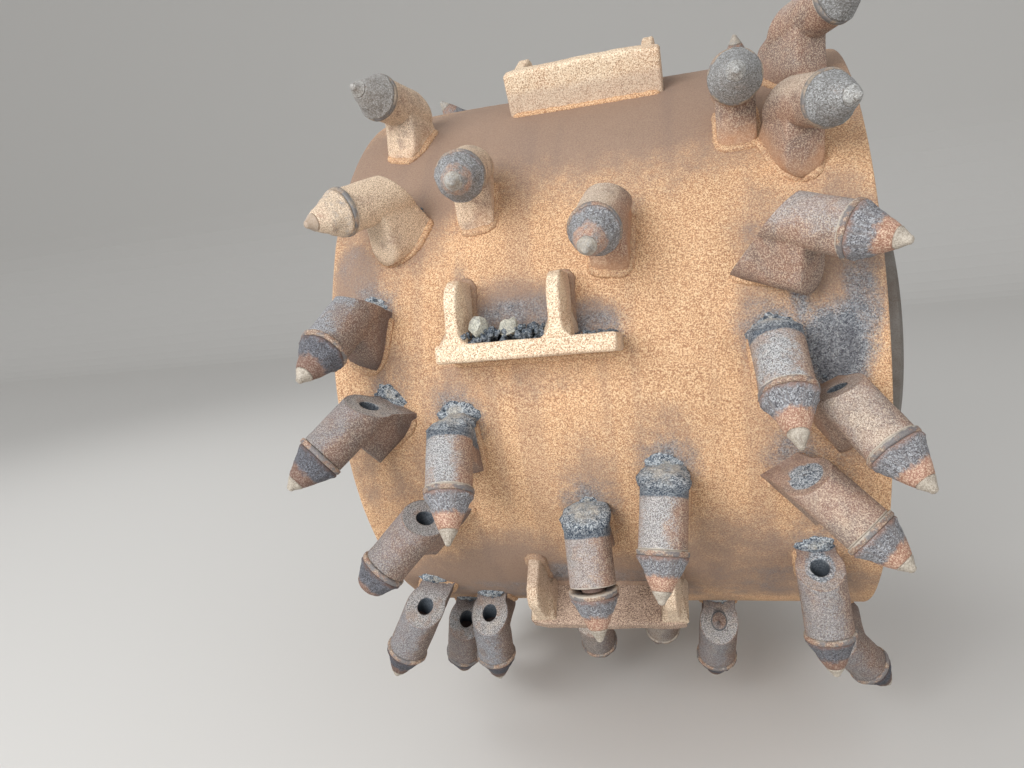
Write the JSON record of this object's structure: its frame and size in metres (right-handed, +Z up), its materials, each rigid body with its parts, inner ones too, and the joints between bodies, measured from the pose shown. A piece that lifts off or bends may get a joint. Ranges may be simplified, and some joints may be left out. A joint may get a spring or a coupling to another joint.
{
  "type": "milling drum",
  "caption": "Rusty cutting drum of a small road milling machine: canted pick holders round a tube, ejector paddles, a hub drive at one end and a bearing at the other.",
  "frame": {"origin": "centre of the drive flange's outer face, on the drum's axis", "axes": "+X along the drum's axis from the drive end to the free end, +Z up, -Y towards the side that cuts downwards in the picture"},
  "size_m": [0.524, 0.7343, 0.7292],
  "materials": {
    "rusty_shell": "rusted and dusty",
    "rusty_paddle": "rusted, worn bright by the millings",
    "dusty_holder": "worn, dusty",
    "pick_steel": "dark, caked with asphalt, rusty cone",
    "washer_steel": "rusty with a bright rim",
    "carbide": "worn pale grey",
    "hub_steel": "machined, oily, lightly rusted",
    "case_iron": "painted dark, dusty",
    "bearing_steel": "ground",
    "bolt_steel": "dull, dusty"
  },
  "bodies": {
    "frame_side": {"drive_flange": "hub_steel", "free_spindle": "hub_steel"},
    "drum": {"shell": "rusty_shell", "drive_web": "rusty_shell", "gear_case": "case_iron", "case_flange": "case_iron", "gear_cover": "case_iron", "case_bolts_ring": "bolt_steel", "free_web": "rusty_shell", "bearing_housing": "case_iron", "bearing_ring": "bearing_steel", "bearing_cover": "case_iron", "housing_bolts_ring": "bolt_steel", "cover_screws_ring": "bolt_steel", "paddle_plates": "rusty_paddle", "paddle_gussets": "rusty_paddle", "holders_edge_left": "dusty_holder", "holders_inner_left": "dusty_holder", "holders_inner_right": "dusty_holder", "holders_edge_right": "dusty_holder", "picks_edge_left": "pick_steel", "picks_inner_left": "pick_steel", "picks_inner_right": "pick_steel", "picks_edge_right": "pick_steel", "washers_edge_left": "washer_steel", "washers_inner_left": "washer_steel", "washers_inner_right": "washer_steel", "washers_edge_right": "washer_steel", "tips_edge_left": "carbide", "tips_inner_left": "carbide", "tips_inner_right": "carbide", "tips_edge_right": "carbide"}
  },
  "joints": [
    {"name": "drum_spin", "type": "hinge", "parent": "frame_side", "child": "drum", "pos_m": [0, 0, 0], "axis": [1, 0, 0], "continuous": true}
  ]
}
